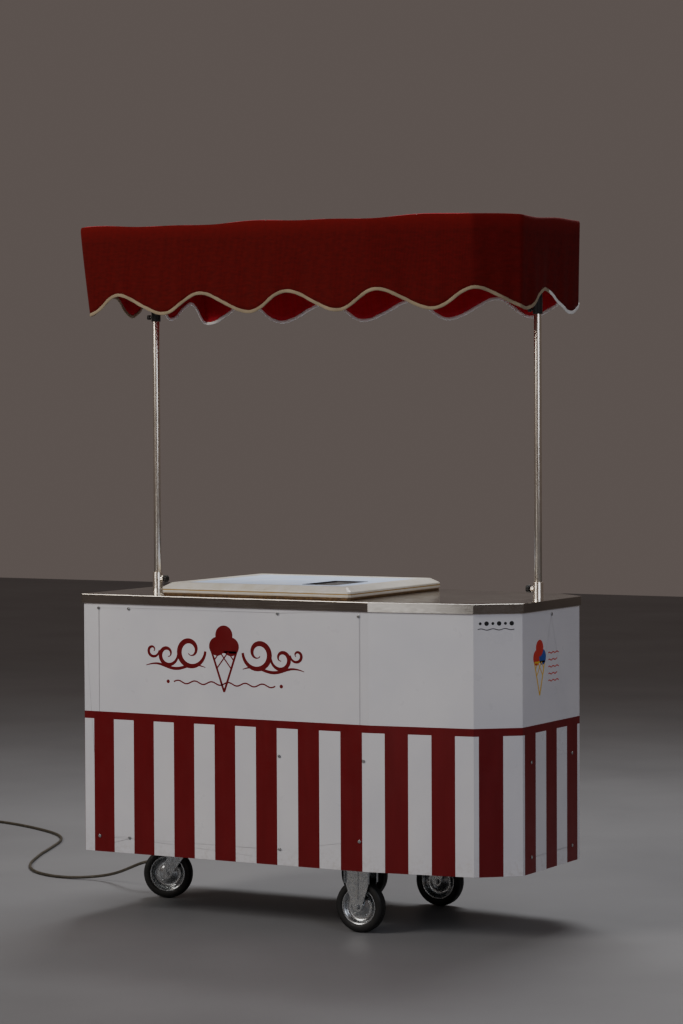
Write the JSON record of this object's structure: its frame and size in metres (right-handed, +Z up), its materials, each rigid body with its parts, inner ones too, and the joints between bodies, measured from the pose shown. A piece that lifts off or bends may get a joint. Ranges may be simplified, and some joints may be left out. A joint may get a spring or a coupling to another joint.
{
  "type": "push vending cart",
  "caption": "Castored push vending cart with a chest freezer under a hinged lid, striped sheet body, stainless worktop and a fabric canopy on two clamped posts.",
  "frame": {"origin": "centre of the cart's plan, on the floor", "axes": "+X along the cart to its pointed end, +Y to its back, +Z up"},
  "size_m": [3.2698, 1.6885, 2.25],
  "materials": {
    "painted_sheet": "white stove-enamelled sheet, satin",
    "red_vinyl": "red self-adhesive vinyl film, semi-gloss",
    "stainless": "polished stainless sheet and tube",
    "zinc_steel": "bright zinc-plated pressed steel",
    "frame_steel": "grey primer on welded steel",
    "tyre_rubber": "black rubber tread",
    "black_plastic": "moulded black plastic",
    "grey_plastic": "moulded grey plastic",
    "plywood": "birch plywood board",
    "foam": "rigid insulating foam",
    "aluminium": "mill-finish aluminium",
    "canvas": "dark red acrylic awning cloth",
    "lid_plastic": "cream-white moulded plastic, worn",
    "lid_sheet": "glossy pale blue-white plastic sheet",
    "gasket": "brown rubber seal",
    "cable_rubber": "grey-black rubber flex"
  },
  "bodies": {
    "cart": {"base_frame": "frame_steel", "frame_uprights": "frame_steel", "top_frame": "frame_steel", "floor_tray": "zinc_steel", "front_panel": "painted_sheet", "back_panel": "painted_sheet", "left_panel": "painted_sheet", "nose_panel": "painted_sheet", "stripe_film": "red_vinyl", "panel_screws": "zinc_steel", "door_hinge_fixed": "stainless", "worktop": "stainless", "worktop_board": "plywood", "freezer_shell": "painted_sheet", "freezer_foam": "foam", "freezer_liner": "aluminium", "compressor": "black_plastic", "condenser": "aluminium", "thermostat": "black_plastic", "lid_hinge_fixed": "zinc_steel", "left_socket": "stainless", "right_socket": "stainless", "swivel_plate": "zinc_steel", "front_fork": "zinc_steel", "back_fork": "zinc_steel", "rear_left_fork": "zinc_steel", "fixed_axles": "zinc_steel", "castor_bolts": "zinc_steel", "cord_gland": "black_plastic", "power_cord": "cable_rubber", "cord_coil": "cable_rubber", "plug": "black_plastic"},
    "door": {"service_door": "painted_sheet", "door_film": "red_vinyl", "vent_grille": "stainless", "door_hinge_moving": "stainless", "door_pull": "stainless"},
    "thermostat_dial": {"thermostat_knob": "black_plastic"},
    "lid": {"lid_frame": "lid_plastic", "lid_panel": "lid_sheet", "lid_grip": "grey_plastic", "lid_gasket": "gasket", "lid_hinge_moving": "zinc_steel"},
    "left_clamp": {"left_knob": "black_plastic"},
    "right_clamp": {"right_knob": "black_plastic"},
    "canopy_set": {"left_post": "stainless", "right_post": "stainless", "post_collars": "grey_plastic", "canopy_frame": "aluminium", "canopy": "canvas"},
    "swivel": {"swivel_fork": "zinc_steel", "swivel_axle": "zinc_steel"},
    "swivel_wheel": {"swivel_rim": "zinc_steel", "swivel_tyre": "tyre_rubber"},
    "front_wheel": {"front_rim": "zinc_steel", "front_tyre": "tyre_rubber"},
    "back_wheel": {"back_rim": "zinc_steel", "back_tyre": "tyre_rubber"},
    "rear_left_wheel": {"rear_left_rim": "zinc_steel", "rear_left_tyre": "tyre_rubber"}
  },
  "joints": [
    {"name": "lid_hinge", "type": "hinge", "parent": "cart", "child": "lid", "pos_m": [-0.142, 0.3305, 1.06], "axis": [-1, 0, 0], "range_deg": [0, 92]},
    {"name": "canopy_height", "type": "slide", "parent": "cart", "child": "canopy_set", "axis": [0, 0, 1], "range_m": [0, 0.25]},
    {"name": "left_clamp_turn", "type": "hinge", "parent": "cart", "child": "left_clamp", "pos_m": [-0.705, 0, 1.085], "axis": [1, 0, 0], "range_deg": [0, 360]},
    {"name": "right_clamp_turn", "type": "hinge", "parent": "cart", "child": "right_clamp", "pos_m": [0.717, 0, 1.085], "axis": [-1, 0, 0], "range_deg": [0, 360]},
    {"name": "door_hinge", "type": "hinge", "parent": "cart", "child": "door", "pos_m": [0.34779, 0.35794, 0.6], "axis": [0, 0, 1], "range_deg": [0, 110]},
    {"name": "thermostat_turn", "type": "hinge", "parent": "cart", "child": "thermostat_dial", "pos_m": [0.236, 0.28, 0.84], "axis": [0, 1, 0], "range_deg": [0, 270]},
    {"name": "castor_swivel", "type": "hinge", "parent": "cart", "child": "swivel", "pos_m": [-0.648, 0.036, 0.19], "axis": [0, 0, 1], "continuous": true},
    {"name": "swivel_wheel_spin", "type": "hinge", "parent": "swivel", "child": "swivel_wheel", "pos_m": [-0.68371, 0.023, 0.084], "axis": [0.342, -0.9397, 0], "continuous": true},
    {"name": "front_wheel_spin", "type": "hinge", "parent": "cart", "child": "front_wheel", "pos_m": [0.228, -0.28, 0.084], "axis": [0, -1, 0], "continuous": true},
    {"name": "back_wheel_spin", "type": "hinge", "parent": "cart", "child": "back_wheel", "pos_m": [0.21, 0.3, 0.084], "axis": [0, -1, 0], "continuous": true},
    {"name": "rear_left_wheel_spin", "type": "hinge", "parent": "cart", "child": "rear_left_wheel", "pos_m": [-0.081, 0.308, 0.084], "axis": [0, -1, 0], "continuous": true}
  ]
}
